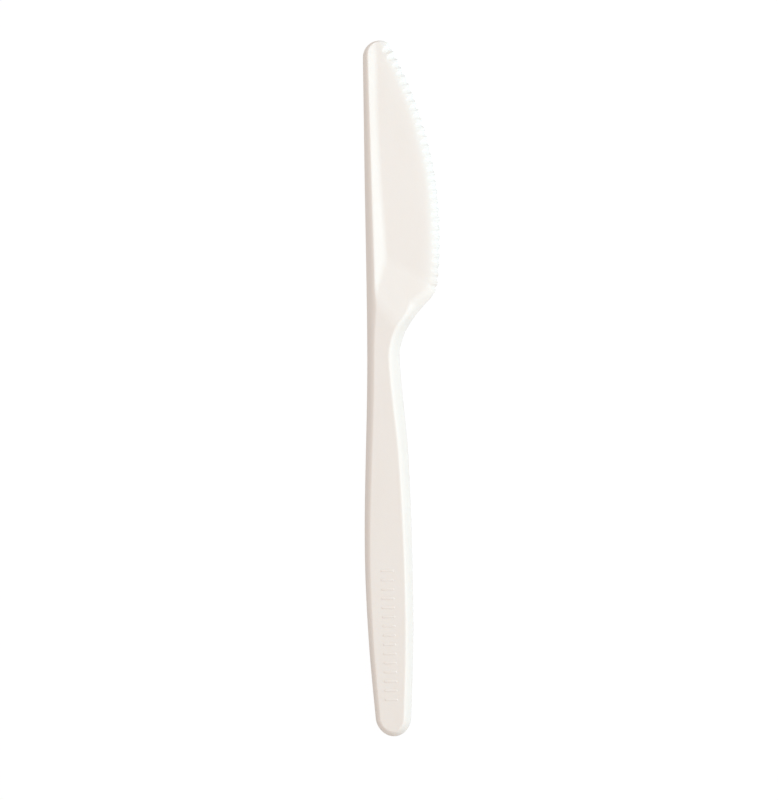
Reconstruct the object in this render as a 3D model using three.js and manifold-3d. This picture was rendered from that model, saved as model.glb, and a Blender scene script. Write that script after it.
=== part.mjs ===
// A disposable table knife, moulded in one piece from off-white plastic. It lies on its flat back:
// the length runs along Y with the tip at +Y, the cutting edge faces +X and the front faces +Z.
// All sizes are millimetres. While the knife is worked out, a point is (across, along): "across" is
// measured from the straight line that touches the spine, "along" from the butt end of the handle.
import * as THREE from 'three';
import { mergeVertices, toCreasedNormals } from 'three/addons/utils/BufferGeometryUtils.js';
import Module from 'manifold-3d';

const wasm = await Module();
wasm.setup();

// Lengths, one after the other from the butt end to the tip.
const gripLength = 91;
const heelLength = 16.3;
const bladeLength = 60.7;

// Plan shape of the handle. Each place is measured from the butt end.
const buttWidth = 8;
const lowerGripWidth = 10.8;
const lowerGripAt = 23;
const swellWidth = 11.5;
const swellAt = 43;
const upperGripWidth = 10.4;
const upperGripAt = 67;
const neckWidth = 7.85;
const buttRound = 4.3;

// How far the spine stands in from the straight line, from the butt end to the tip.
const buttLean = 3.6;
const lowerGripLean = 1.5;
const swellLean = 0.57;
const neckLean = 1.14;
const bladeLean = 0.5;
const bladeLeanFromHeel = 27;

// Plan shape of the blade: a heel that runs out at an angle, and a belly that falls to the tip.
const heelAngle = THREE.MathUtils.degToRad(43);
const heelSweep = 6;
const heelCorner = 1.8;
const bellyWidth = 18.7;
const bellyFromHeel = 12.4;
const bellyDrop = 12.75;
const bellyPower = 2.1;
const tipRound = 4.1;
const tipCorner = 0.5;

// Heights of the front above the flat back.
const buttHeight = 3.3;
const swellHeight = 3.8;
const neckHeight = 4.8;
const tipHeight = 2.7;
const edgeThickness = 0.35;
const webThickness = 1.1;
const webSlope = 0.095;
const ribSlope = 0.8;
const ribLift = 0.3;
const ribFoot = 1;
const ribBeforeHeel = 5;
const ribRiseLength = 4;

// The ramp by which the handle's face runs down into the blade, square to the heel.
const rampBeforeHeel = 1.6;
const rampAcross = 3.3;
const rampAngle = THREE.MathUtils.degToRad(47);
const rampSlope = 0.28;
const rampRound = 0.4;
const rampFoot = 0.3;

// Side walls, whose crest is rounded over a share of their height, and the channel that hollows the
// handle from the back.
const draftAngle = THREE.MathUtils.degToRad(24);
const crestRound = 0.4;
const wallThickness = 1.3;
const faceThickness = 1.3;
const channelBeforeHeel = 4.5;
const channelRound = 2.4;
const roofRound = 0.2;
const channelOvershoot = 0.5;

// The serrated cutting edge.
const bevelWidth = 2.1;
const toothPitch = 2.2;
const notchDepth = 0.22;
const firstToothFromHeel = 0.9;
const lastToothFromTip = 1.3;

// Before the heel the drafted wall turns into the bevel of the cutting edge.
const bevelFadeBeforeHeel = 8;
const bevelFadeLength = 4;

const plasticColor = 0xf0e8de;
const plasticRoughness = 0.5;

// How finely the surface is divided: the distance between its rows, the rows round an end, and the
// sides of a round cutter.
const handleStep = 5;
const neckStep = 1.5;
const heelStep = 0.9;
const bladeStep = 2.4;
const channelStep = 6;
const channelNeckStep = 2;
const edgeStep = 1;
const endRows = 10;
const channelEndRows = 6;
const cutterSides = 20;
const searchSteps = 60;
const weldDistance = 1e-4;
const creaseAngle = THREE.MathUtils.degToRad(25);

const neckAt = gripLength;
const heelAt = neckAt + heelLength;
const rampAt = heelAt - rampBeforeHeel;
const ribAt = heelAt - ribBeforeHeel;
const bevelFadeAt = heelAt - bevelFadeBeforeHeel;
const bellyAt = heelAt + bellyFromHeel;
const tipAt = heelAt + bladeLength;
const tipShoulder = tipAt - tipRound;
const draftSlope = 1 / Math.tan(draftAngle);

// Lower or upper of two values, with the corner between them rounded over the given height.
const roundedMin = (a, b, round) =>
  Math.min(a, b) - Math.max(round - Math.abs(a - b), 0) ** 2 / (4 * round);
const roundedMax = (a, b, round) => -roundedMin(-a, -b, round);

// A smooth curve through stations, each given as [place along the knife, value].
function curveThrough(stations) {
  const stops = stations.map(([stop]) => stop);
  const values = stations.map(([, value]) => value);
  const curve = new THREE.CubicInterpolant(stops, values, 1);
  return (along) => curve.evaluate(along)[0];
}

const spineSide = curveThrough([
  [0, buttLean],
  [lowerGripAt, lowerGripLean],
  [swellAt, swellLean],
  [neckAt, neckLean],
  [heelAt + bladeLeanFromHeel, bladeLean],
  [tipAt, 0],
]);

const gripWidth = curveThrough([
  [0, buttWidth],
  [lowerGripAt, lowerGripWidth],
  [swellAt, swellWidth],
  [upperGripAt, upperGripWidth],
  [neckAt, neckWidth],
  [heelAt, neckWidth],
]);

const crestHeight = curveThrough([
  [0, buttHeight],
  [swellAt, swellHeight],
  [neckAt, neckHeight],
  [tipAt, tipHeight],
]);

// The cutting edge before the teeth are cut, carried straight on below the heel.
function edgeSide(along) {
  const reach = Math.abs(Math.max(along, heelAt) - bellyAt) / (tipAt - bellyAt);
  return bellyWidth - bellyDrop * reach ** bellyPower;
}

// The side away from the spine: the handle, the slanting heel and the cutting edge, blended.
function frontSide(along) {
  const grip = spineSide(along) + gripWidth(along);
  const heelLine = edgeSide(heelAt) + (along - heelAt) * Math.tan(heelAngle);
  return roundedMin(roundedMax(grip, heelLine, heelSweep), edgeSide(along), heelCorner);
}

const arc = (share) => Math.sqrt(Math.max(1 - share * share, 0));

// Both sides at one place along the knife, closed by the round butt and the round tip.
function outerSides(along) {
  const left = spineSide(along);
  const right = frontSide(along);
  if (along < buttRound) {
    const half = ((right - left) / 2) * arc(1 - along / buttRound);
    return [(left + right) / 2 - half, (left + right) / 2 + half];
  }
  if (along > tipShoulder) {
    const middle = (spineSide(tipShoulder) + frontSide(tipShoulder)) / 2;
    const half = (middle - spineSide(tipShoulder)) * arc((along - tipShoulder) / tipRound);
    const corner = tipCorner * arc((along - tipShoulder) / tipRound) + Number.EPSILON;
    return [middle - half, roundedMin(right, middle + half, corner)];
  }
  return [left, right];
}

// The channel keeps the wall's thickness to both sides. It starts a little below the back.
const channelInset = wallThickness - channelOvershoot / draftSlope;
const channelFrom = channelInset;
const channelTo = heelAt - channelBeforeHeel;
const channelButt = buttRound - channelInset;

function channelSides(along) {
  const nudge = 0.01;
  const slant = (frontSide(along + nudge) - frontSide(along - nudge)) / (2 * nudge);
  const left = spineSide(along) + channelInset;
  const right = frontSide(along) - channelInset * Math.hypot(1, slant);
  const butt = Math.max(1 - (along - channelFrom) / channelButt, 0);
  const end = Math.max(1 - (channelTo - along) / channelRound, 0);
  const half = ((right - left) / 2) * arc(butt) * arc(end);
  return [(left + right) / 2 - half, (left + right) / 2 + half];
}

// The handle's face and the ramp that it runs down by.
function faceHeight(across, along) {
  const downRamp = (across - rampAcross) * Math.sin(rampAngle) + (along - rampAt) * Math.cos(rampAngle);
  return roundedMin(crestHeight(along), crestHeight(rampAt) - rampSlope * downRamp, rampRound);
}

// The floor of the blade, and of the handle's face above it.
function floorHeight(across, along) {
  const web = webThickness + webSlope * (edgeSide(along) - bevelWidth - across);
  return roundedMax(faceHeight(across, along), web, rampFoot);
}

// The flank of the rib that stiffens the spine, falling away from the crest of the wall. It comes out
// of the handle's face before the heel, and the crest's round takes off what it is lifted by.
function ribHeight(across, along) {
  const crest = crestHeight(along);
  const ribTop = spineSide(along) + (crest - edgeThickness) / draftSlope;
  const risen = THREE.MathUtils.smoothstep(along, ribAt, ribAt + ribRiseLength);
  const lift = THREE.MathUtils.lerp(-ribFoot, ribLift, risen);
  return crest + lift - ribSlope * (across - ribTop);
}

// The whole front without its side walls.
function frontHeight(across, along) {
  return roundedMax(floorHeight(across, along), ribHeight(across, along), ribFoot);
}

// How steeply the side wall climbs: drafted round the handle, the spine and the tip. Round the heel
// it turns into the bevel of the cutting edge, which is always as wide as its height needs.
function wallSlope(along, side) {
  if (side === 'left') {
    return draftSlope;
  }
  const bevelTop = frontHeight(frontSide(along) - bevelWidth, along);
  const bevelSlope = (bevelTop - edgeThickness) / bevelWidth;
  const pastNeck = THREE.MathUtils.smoothstep(along, bevelFadeAt, bevelFadeAt + bevelFadeLength);
  const beforeTip = 1 - THREE.MathUtils.smoothstep(along, tipShoulder, tipAt);
  return THREE.MathUtils.lerp(draftSlope, bevelSlope, pastNeck * beforeTip);
}

// Places from one point to another, no further apart than the given step.
function places(from, to, step) {
  const count = Math.ceil((to - from) / step);
  return Array.from({ length: count }, (_, index) => from + ((to - from) * index) / count);
}

// Places round a rounded end, close together where it turns. Turn 0 is the end itself.
function roundPlaces(end, depth, count) {
  return Array.from({ length: count }, (_, index) => {
    const turn = (Math.PI / 2) * (index / count);
    return end + depth * (1 - Math.cos(turn));
  });
}

// One row of the plan for each place: its two outline points and the middle that its walls face.
function planRows(sidesAt, placesAlong, firstMiddle, lastMiddle) {
  return placesAlong.map((along) => {
    const [left, right] = sidesAt(along);
    const middleAlong = THREE.MathUtils.clamp(along, firstMiddle, lastMiddle);
    const [middleLeft, middleRight] = sidesAt(middleAlong);
    return {
      left: new THREE.Vector2(left, along),
      right: new THREE.Vector2(right, along),
      middle: new THREE.Vector2((middleLeft + middleRight) / 2, middleAlong),
    };
  });
}

// The outline of the rows, as straight segments along each side.
function outlineSegments(rows) {
  return ['left', 'right'].flatMap((side) => rows.slice(1).map((row, index) => ({
    side,
    line: new THREE.Line3(
      new THREE.Vector3(rows[index][side].x, rows[index][side].y, 0),
      new THREE.Vector3(row[side].x, row[side].y, 0),
    ),
  })));
}

// The nearest point of the outline: how far away it is, how far along, and on which side.
function nearestWall(segments, point) {
  const target = new THREE.Vector3(point.x, point.y, 0);
  const foot = new THREE.Vector3();
  let nearest = { distance: Infinity };
  for (const { line, side } of segments) {
    const distance = line.closestPointToPoint(target, true, foot).distanceTo(target);
    if (distance < nearest.distance) {
      nearest = { distance, along: foot.y, side };
    }
  }
  return nearest;
}

// A closed solid over a plan: a flat underside, an upright land round it, and a front whose height
// is worked out at each point. Insets are distances in from the outline, which the grid follows.
function mouldedForm({ rows, floor, land, heightAt, insetsAt }) {
  const segments = outlineSegments(rows);
  const points = [];
  const rings = rows.map((row) => {
    const columns = [];
    for (const side of ['left', 'right']) {
      const start = row[side];
      const width = start.distanceTo(row.middle);
      const inward = insetsAt(row, side, width).map((inset) => {
        const point = start.clone().lerp(row.middle, Math.min(inset / width, 1));
        return [point.x, point.y, heightAt(point, nearestWall(segments, point))];
      });
      columns.push([[start.x, start.y, floor], [start.x, start.y, land], ...inward]);
    }
    const middle = [row.middle.x, row.middle.y, heightAt(row.middle, nearestWall(segments, row.middle))];
    return [...columns[0], middle, ...columns[1].reverse()];
  });
  rings.forEach((ring) => ring.forEach((point) => points.push(...point)));

  const width = rings[0].length;
  const index = [];
  for (let row = 0; row + 1 < rings.length; row += 1) {
    for (let column = 0; column < width; column += 1) {
      const here = row * width + column;
      const beside = row * width + ((column + 1) % width);
      index.push(here, beside, here + width);
      index.push(beside, beside + width, here + width);
    }
  }
  const geometry = new THREE.BufferGeometry();
  geometry.setAttribute('position', new THREE.Float32BufferAttribute(points, 3));
  geometry.setIndex(index);
  return geometry;
}

// A closed mesh as a solid that can be cut.
function solidFrom(source) {
  const bare = source.clone();
  bare.deleteAttribute('normal');
  bare.deleteAttribute('uv');
  const merged = mergeVertices(bare, weldDistance);
  const corners = merged.index.array;
  const kept = [];
  for (let at = 0; at < corners.length; at += 3) {
    const [a, b, c] = corners.slice(at, at + 3);
    if (a !== b && b !== c && c !== a) {
      kept.push(a, b, c);
    }
  }
  const vertProperties = new Float32Array(merged.attributes.position.array);
  return new wasm.Manifold(new wasm.Mesh({ numProp: 3, vertProperties, triVerts: new Uint32Array(kept) }));
}

// How far in from one side of a row the wall meets the front, found by closing in on it.
function crestInset(row, side, width) {
  const rounds = 6;
  const slope = wallSlope(row[side].y, side);
  let inset = 0;
  for (let round = 0; round < rounds; round += 1) {
    const point = row[side].clone().lerp(row.middle, inset / width);
    inset = Math.min((frontHeight(point.x, point.y) - edgeThickness) / slope, width / 2);
  }
  return inset;
}

// How far in from one side of a row the rib's flank runs out on the floor, if it does.
function ribInset(row, side, width) {
  let inset = 0;
  for (let step = 1; step < searchSteps; step += 1) {
    const point = row[side].clone().lerp(row.middle, step / searchSteps);
    if (ribHeight(point.x, point.y) > floorHeight(point.x, point.y)) {
      inset = (width * step) / searchSteps;
    }
  }
  return inset;
}

// The knife's outer form: insets gather at the crest of the wall and at the foot of the rib, which
// stays in the middle stretch of the row, so that no two insets change places.
function outerForm() {
  const footFrom = 0.3;
  const footTo = 0.7;
  const footReach = 0.25;
  const placesAlong = [
    ...roundPlaces(0, buttRound, endRows),
    ...places(buttRound, neckAt, handleStep),
    ...places(neckAt, bevelFadeAt, neckStep),
    ...places(bevelFadeAt, bellyAt, heelStep),
    ...places(bellyAt, tipShoulder, bladeStep),
    ...roundPlaces(tipAt, -tipRound, endRows).reverse(),
  ];
  const rows = planRows(outerSides, placesAlong, buttRound, tipShoulder);
  return mouldedForm({
    rows,
    floor: 0,
    land: edgeThickness,
    heightAt: (point, wall) => {
      const front = frontHeight(point.x, point.y);
      const wallHeight = edgeThickness + wallSlope(wall.along, wall.side) * wall.distance;
      return roundedMin(front, wallHeight, crestRound * (front - edgeThickness));
    },
    insetsAt: (row, side, width) => {
      const crest = crestInset(row, side, width);
      const round = crestRound * crest;
      const wall = [(crest - round) / 2, crest - round, crest - round / 3];
      const top = [crest + round / 3, crest + round];
      const start = crest + round;
      const rest = width - start;
      const share = (ribInset(row, side, width) - start) / rest;
      const foot = start + THREE.MathUtils.clamp(share, footFrom, footTo) * rest;
      const reach = Math.min(ribFoot / ribSlope, footReach * rest);
      return [...wall, ...top, foot - reach, foot, foot + reach, (foot + reach + width) / 2];
    },
  });
}

// What the channel takes out of the back of the handle: the face keeps its thickness above it.
function channelForm() {
  const roofFrom = 0.8;
  const roofReach = 0.1;
  const placesAlong = [
    ...roundPlaces(channelFrom, channelButt, channelEndRows),
    ...places(channelFrom + channelButt, neckAt, channelStep),
    ...places(neckAt, channelTo - channelRound, channelNeckStep),
    ...roundPlaces(channelTo, -channelRound, channelEndRows).reverse(),
  ];
  const rows = planRows(channelSides, placesAlong, channelFrom + channelButt, channelTo - channelRound);
  return mouldedForm({
    rows,
    floor: -2 * channelOvershoot,
    land: -channelOvershoot,
    heightAt: (point, wall) => roundedMin(
      faceHeight(point.x, point.y) - faceThickness,
      draftSlope * wall.distance - channelOvershoot,
      roofRound * draftSlope,
    ),
    insetsAt: (row, side, width) => {
      const roof = faceHeight(row.middle.x, row.middle.y) - faceThickness + channelOvershoot;
      const crest = Math.min(roof / draftSlope, roofFrom * width);
      return [crest - roofRound, crest, crest + Math.min(roofRound, roofReach * width)];
    },
  });
}

// The flutes of the cutting edge: round cutters side by side, square to the edge. Each runs out of
// the front where the bevel ends, and is deep enough at the edge to notch it.
function fluteCutters() {
  const cusp = edgeThickness + notchDepth;
  const radius = ((toothPitch / 2) ** 2 + cusp ** 2) / (2 * cusp);
  const reach = 2 * bevelWidth;
  const edge = new THREE.CatmullRomCurve3(
    places(heelAt + firstToothFromHeel, tipAt - lastToothFromTip, edgeStep)
      .map((along) => new THREE.Vector3(outerSides(along)[1], along, -notchDepth)),
  );
  const count = Math.floor(edge.getLength() / toothPitch);
  return Array.from({ length: count + 1 }, (_, tooth) => {
    const share = tooth / count;
    const foot = edge.getPointAt(share);
    const tangent = edge.getTangentAt(share);
    const inward = new THREE.Vector3(-tangent.y, tangent.x, 0).normalize();
    const bevelEnd = foot.clone().addScaledVector(inward, bevelWidth);
    const rise = Math.atan2(frontHeight(bevelEnd.x, bevelEnd.y) + notchDepth, bevelWidth);
    const axis = inward.clone().multiplyScalar(Math.cos(rise)).setZ(Math.sin(rise));
    const up = new THREE.Vector3().crossVectors(tangent, axis).normalize();
    const cutter = new THREE.CylinderGeometry(radius, radius, 2 * reach, cutterSides);
    cutter.applyMatrix4(new THREE.Matrix4().makeBasis(tangent, axis, up));
    const centre = foot.clone().addScaledVector(up, radius);
    cutter.translate(centre.x, centre.y, centre.z);
    return cutter;
  });
}

function knife() {
  let body = solidFrom(outerForm()).subtract(solidFrom(channelForm()));
  for (const cutter of fluteCutters()) {
    body = body.subtract(solidFrom(cutter));
  }
  const { vertProperties, triVerts } = body.getMesh();
  const geometry = new THREE.BufferGeometry();
  geometry.setAttribute('position', new THREE.Float32BufferAttribute(vertProperties, 3));
  geometry.setIndex(new THREE.Uint32BufferAttribute(triVerts, 1));
  geometry.computeBoundingBox();
  const middle = geometry.boundingBox.getCenter(new THREE.Vector3());
  geometry.translate(-middle.x, -middle.y, 0);
  const mesh = new THREE.Mesh(
    toCreasedNormals(geometry, creaseAngle),
    new THREE.MeshStandardMaterial({ color: plasticColor, roughness: plasticRoughness, metalness: 0 }),
  );
  mesh.name = 'knife';
  return mesh;
}

const model = new THREE.Group();
model.add(knife());

export default model;
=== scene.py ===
"""A disposable plastic table knife, moulded in one piece, on a plain white table.

A point of the knife is (across, along) while it is worked out: across is measured from the straight
line that touches the spine, along from the butt end of the handle. Lengths are metres.
"""

import math

import bpy
import numpy as np
from mathutils import Matrix, Vector


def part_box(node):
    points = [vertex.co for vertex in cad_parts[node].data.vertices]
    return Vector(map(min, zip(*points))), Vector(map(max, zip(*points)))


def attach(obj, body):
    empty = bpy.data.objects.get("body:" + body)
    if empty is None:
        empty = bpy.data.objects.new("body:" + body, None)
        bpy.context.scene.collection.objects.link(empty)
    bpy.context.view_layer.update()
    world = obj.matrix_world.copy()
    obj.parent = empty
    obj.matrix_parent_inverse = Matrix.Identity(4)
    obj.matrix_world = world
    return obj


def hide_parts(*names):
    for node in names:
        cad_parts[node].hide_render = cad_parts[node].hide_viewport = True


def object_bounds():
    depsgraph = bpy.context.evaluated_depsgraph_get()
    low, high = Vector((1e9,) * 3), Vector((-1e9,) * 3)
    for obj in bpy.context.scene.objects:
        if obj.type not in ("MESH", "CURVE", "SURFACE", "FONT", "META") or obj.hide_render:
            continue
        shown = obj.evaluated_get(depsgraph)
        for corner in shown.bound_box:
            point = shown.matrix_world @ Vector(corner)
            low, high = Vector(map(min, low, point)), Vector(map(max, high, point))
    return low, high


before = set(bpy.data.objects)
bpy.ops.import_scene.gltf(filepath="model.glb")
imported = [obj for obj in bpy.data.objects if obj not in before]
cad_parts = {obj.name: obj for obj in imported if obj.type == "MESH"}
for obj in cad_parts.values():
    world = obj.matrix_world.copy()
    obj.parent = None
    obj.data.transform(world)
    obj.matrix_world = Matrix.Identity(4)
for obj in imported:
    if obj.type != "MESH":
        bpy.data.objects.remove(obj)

bl_info = {
    "name": "Table Knife",
    "version": (1, 0, 0),
    "blender": (4, 5, 0),
    "location": "View3D > Sidebar > Table Knife",
    "description": "Moulds a disposable plastic table knife and sets it on a white table",
    "category": "Object",
}

CAD_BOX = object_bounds()
NODE = "knife"
PIECE = "knife_moulding"
MM = 0.001
TABLE_GAP = 0.02 * MM


def length(name, metres, description):
    """A size in metres, which Blender shows with its unit."""
    return bpy.props.FloatProperty(
        name=name, description=description, default=metres, precision=5, unit="LENGTH"
    )


def angle(name, degrees, description):
    """An angle, given here in degrees."""
    return bpy.props.FloatProperty(
        name=name, description=description, default=math.radians(degrees), subtype="ANGLE"
    )


def number(name, value, description):
    """A plain number, such as a slope or a strength."""
    return bpy.props.FloatProperty(name=name, description=description, default=value, precision=4)


def factor(name, value, description):
    """A share from none to all."""
    return bpy.props.FloatProperty(
        name=name, description=description, default=value, min=0.0, max=1.0, subtype="FACTOR"
    )


def colour(name, rgb, description):
    """A colour, in linear light."""
    return bpy.props.FloatVectorProperty(
        name=name, description=description, default=rgb, size=3, min=0.0, max=1.0, subtype="COLOR"
    )


def count(name, value, description):
    """A whole number."""
    return bpy.props.IntProperty(name=name, description=description, default=value, min=1)


class HandlePlan(bpy.types.PropertyGroup):
    """The handle seen from the front."""

    length: length("Length", 91 * MM, "From the butt end to the neck")
    butt_width: length("Butt width", 8 * MM, "Width at the butt end, before it is rounded")
    lower_width: length("Lower width", 10.8 * MM, "Width between the butt and the swell")
    lower_at: length("Lower place", 23 * MM, "Where the lower width is, from the butt end")
    swell_width: length("Swell width", 11.5 * MM, "Width where the handle is widest")
    swell_at: length("Swell place", 43 * MM, "Where the swell is, from the butt end")
    upper_width: length("Upper width", 10.4 * MM, "Width between the swell and the neck")
    upper_at: length("Upper place", 67 * MM, "Where the upper width is, from the butt end")
    neck_width: length("Neck width", 7.85 * MM, "Width of the neck")
    butt_round: length("Butt round", 4.3 * MM, "How far the butt's round end reaches")
    butt_lean: length("Butt lean", 3.6 * MM, "How far the spine stands in at the butt end")
    lower_lean: length("Lower lean", 1.5 * MM, "How far the spine stands in at the lower place")
    swell_lean: length("Swell lean", 0.57 * MM, "How far the spine stands in at the swell")
    neck_lean: length("Neck lean", 1.14 * MM, "How far the spine stands in at the neck")


class BladePlan(bpy.types.PropertyGroup):
    """The heel and the blade seen from the front."""

    heel_length: length("Heel length", 16.3 * MM, "From the neck to the heel's corner")
    length: length("Length", 60.7 * MM, "From the heel's corner to the tip")
    lean: length("Lean", 0.5 * MM, "How far the spine stands in beside the blade")
    lean_from_heel: length("Lean place", 27 * MM, "Where that is, from the heel")
    heel_angle: angle("Heel angle", 43, "How steeply the heel runs out from the neck")
    heel_sweep: length("Heel sweep", 6 * MM, "Round between the neck and the heel")
    heel_corner: length("Heel corner", 1.8 * MM, "Round of the heel's corner")
    belly_width: length("Belly width", 18.7 * MM, "Width where the blade is widest")
    belly_from_heel: length("Belly place", 12.4 * MM, "Where that is, from the heel")
    belly_drop: length("Belly drop", 12.75 * MM, "How far the edge falls back by the tip")
    belly_power: number("Belly power", 2.1, "How late the edge falls back")
    tip_round: length("Tip round", 4.1 * MM, "How far the tip's round end reaches")
    tip_corner: length("Tip corner", 0.5 * MM, "Round between the edge and the tip")


class FrontHeights(bpy.types.PropertyGroup):
    """Heights of the moulded front above the flat back, and its slopes."""

    butt: length("Butt", 3.3 * MM, "Height at the butt end")
    swell: length("Swell", 3.8 * MM, "Height at the swell")
    neck: length("Neck", 4.8 * MM, "Height at the neck")
    tip: length("Tip", 2.7 * MM, "Height of the rib at the tip")
    edge: length("Edge", 0.35 * MM, "Thickness of the cutting edge and of the rim")
    web: length("Web", 1.2 * MM, "Thickness of the blade where its bevel starts")
    web_slope: number("Web slope", 0.1, "How fast the blade thickens towards the spine")
    rib_slope: number("Rib slope", 0.75, "How fast the rib falls to the blade")
    rib_lift: length("Rib lift", 0.3 * MM, "How far its flank passes over the crest it is rounded to")
    rib_foot: length("Rib foot", 0.4 * MM, "Round where the rib meets the blade")
    rib_before_heel: length("Rib place", 5 * MM, "Where the rib starts, before the heel")
    rib_rise_length: length("Rib rise", 4 * MM, "How long it takes to stand out of the face")
    draft: angle("Draft", 18, "How far the walls of the handle and the tip lean in")
    rib_draft: angle("Rib draft", 24, "How far the wall beside the rib leans in")
    crest_round: factor("Crest round", 0.6, "Share of a wall's height that its crest is rounded over")
    ramp_before_heel: length("Ramp place", 1.6 * MM, "Where the ramp starts, before the heel")
    ramp_across: length("Ramp side", 3.3 * MM, "How far from the spine that is")
    ramp_angle: angle("Ramp angle", 47, "Turn of the ramp, away from the knife's length")
    ramp_slope: number("Ramp slope", 0.28, "How fast the ramp falls")
    ramp_round: length("Ramp round", 0.4 * MM, "Round at the top of the ramp")
    ramp_foot: length("Ramp foot", 0.3 * MM, "Round at the foot of the ramp")
    fade_before_heel: length("Fade place", 8 * MM, "Where the wall starts to turn into a bevel")
    fade_length: length("Fade length", 4 * MM, "How long that turn takes")


class ChannelSizes(bpy.types.PropertyGroup):
    """The channel that hollows the handle from the back."""

    wall: length("Wall", 1.3 * MM, "Thickness of the handle's side walls at the back")
    face: length("Face", 1.3 * MM, "Thickness of the handle's face")
    before_heel: length("End", 4.5 * MM, "Where the channel ends, before the heel")
    end_round: length("End round", 2.4 * MM, "Round of that end")
    roof_round: length("Roof round", 0.2 * MM, "Round inside, along the channel's roof")
    overshoot: length("Overshoot", 0.5 * MM, "How far the channel's tool starts below the back")


class ToothSizes(bpy.types.PropertyGroup):
    """The serrated cutting edge."""

    bevel: length("Bevel", 2.3 * MM, "Width of the bevel that the teeth are in")
    pitch: length("Pitch", 2.2 * MM, "Distance from tooth to tooth")
    notch: length("Notch", 0.22 * MM, "How far a flute passes under the back at the edge")
    from_heel: length("First tooth", 0.9 * MM, "Where the teeth start, after the heel")
    from_tip: length("Last tooth", 1.3 * MM, "Where the teeth end, before the tip")
    sides: count("Sides", 72, "Sides of the round tool that cuts a flute")
    tool_reach: number("Tool reach", 4, "Length of that tool, in widths of the bevel")


class GripBarSizes(bpy.types.PropertyGroup):
    """A row of low bars across the handle's face."""

    start: length("Start", 9 * MM, "The first bar, from the butt end")
    end: length("End", 41 * MM, "The last bar, from the butt end")
    pitch: length("Pitch", 2.2 * MM, "Distance from bar to bar")
    length: length("Length", 3.4 * MM, "Length of a bar, across the handle")
    width: length("Width", 0.8 * MM, "Width of the round that a bar is cut from")
    relief: length("Relief", 0.13 * MM, "How far a bar stands out of the face")


class SurfaceSteps(bpy.types.PropertyGroup):
    """How finely the surface is divided."""

    handle: length("Handle", 0.7 * MM, "Distance between rows along the handle")
    heel: length("Heel", 0.28 * MM, "Distance between rows round the heel")
    blade: length("Blade", 0.5 * MM, "Distance between rows along the blade")
    channel: length("Channel", 1 * MM, "Distance between rows along the channel")
    end_rows: count("End rows", 22, "Rows round each rounded end")
    wall: count("Wall", 5, "Columns up a side wall, and round the channel's roof")
    crest: count("Crest", 12, "Columns over a wall's crest")
    floor: count("Floor", 7, "Columns on each side of the rib's foot, and over the channel")
    foot: count("Foot", 8, "Columns over the rib's foot")
    weld: length("Weld", 0.0002 * MM, "Points closer than this are one")
    crease: angle("Crease", 20, "Edges that turn more than this stay sharp")


class PlasticFinish(bpy.types.PropertyGroup):
    """The off-white plastic."""

    body: colour("Body", (0.855, 0.79, 0.737), "Colour of the plastic")
    cloud: colour("Cloud", (0.835, 0.765, 0.705), "Warmer colour of its faint clouds")
    thin: colour("Thin", (0.9, 0.885, 0.85), "Colour where light comes through the thin edge")
    thin_reach: number("Thin reach", 1.5, "How far in that shows, in widths of the bevel")
    clouding: factor("Clouding", 0.5, "How far the clouds show")
    cloud_size: length("Cloud size", 7 * MM, "Width of a cloud")
    cloud_stretch: number("Cloud stretch", 3.5, "Length of a cloud, in widths")
    roughness: factor("Roughness", 0.5, "Roughness of the satin surface")
    unevenness: factor("Unevenness", 0.04, "How far the roughness strays from that")
    grain: length("Grain", 0.012 * MM, "Depth of the fine grain")
    grain_size: length("Grain size", 0.35 * MM, "Width of the fine grain")
    ior: number("IOR", 1.46, "Refractive index of the plastic")
    subsurface: factor("Subsurface", 0.12, "Share of the light that goes into the plastic")
    depth: length("Depth", 1.2 * MM, "How far that light goes")
    depth_by_colour: colour("Depth by colour", (1, 0.85, 0.7), "Share of that depth for each colour")


class StageSettings(bpy.types.PropertyGroup):
    """The table, the lights and the camera."""

    tilt: angle("Tilt", 6.5, "How far the camera leans towards the cutting edge")
    view_height: length("View height", 192.8 * MM, "What the picture's height takes in")
    aim_across: length("Aim across", -2.735 * MM, "Where the camera aims, across from the middle")
    aim_along: length("Aim along", -2.82 * MM, "Where the camera aims, along from the middle")
    lens: number("Lens", 200, "Focal length in millimetres")
    ambient: number("Ambient", 0.76, "Strength of the light from all round")
    ambient_colour: colour("Ambient colour", (1, 0.932, 0.884), "Colour of the light from all round")
    light_distance: length("Light distance", 700 * MM, "How far the soft lights are")
    light_size: length("Light size", 450 * MM, "Side of each soft light")
    key_power: number("Key power", 2.65, "Power of the light beside the cutting edge, in watts")
    key_colour: colour("Key colour", (0.648, 0.887, 1), "Colour of that light")
    key_turn: angle("Key turn", 0, "Its bearing, from the cutting edge towards the tip")
    key_height: angle("Key height", 20, "How high that light stands")
    top_power: number("Top power", 1.05, "Power of the light above the blade, in watts")
    top_colour: colour("Top colour", (0.73, 0.88, 1), "Colour of that light")
    top_turn: angle("Top turn", 60, "Its bearing, from the cutting edge towards the tip")
    top_height: angle("Top height", 70, "How high that light stands")
    table: factor("Table", 0.68, "How white the table is")
    table_size: length("Table size", 6, "Side of the square table")
    shadow: factor("Shadow", 0.15, "How far the knife's shadow shows on the table")
    white_margin: factor("White margin", 0.02, "What the table's white lies above plain white")


class TableKnife(bpy.types.PropertyGroup):
    """All the settings of the knife."""

    handle: bpy.props.PointerProperty(type=HandlePlan)
    blade: bpy.props.PointerProperty(type=BladePlan)
    heights: bpy.props.PointerProperty(type=FrontHeights)
    channel: bpy.props.PointerProperty(type=ChannelSizes)
    teeth: bpy.props.PointerProperty(type=ToothSizes)
    bars: bpy.props.PointerProperty(type=GripBarSizes)
    steps: bpy.props.PointerProperty(type=SurfaceSteps)
    plastic: bpy.props.PointerProperty(type=PlasticFinish)
    stage: bpy.props.PointerProperty(type=StageSettings)


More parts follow.
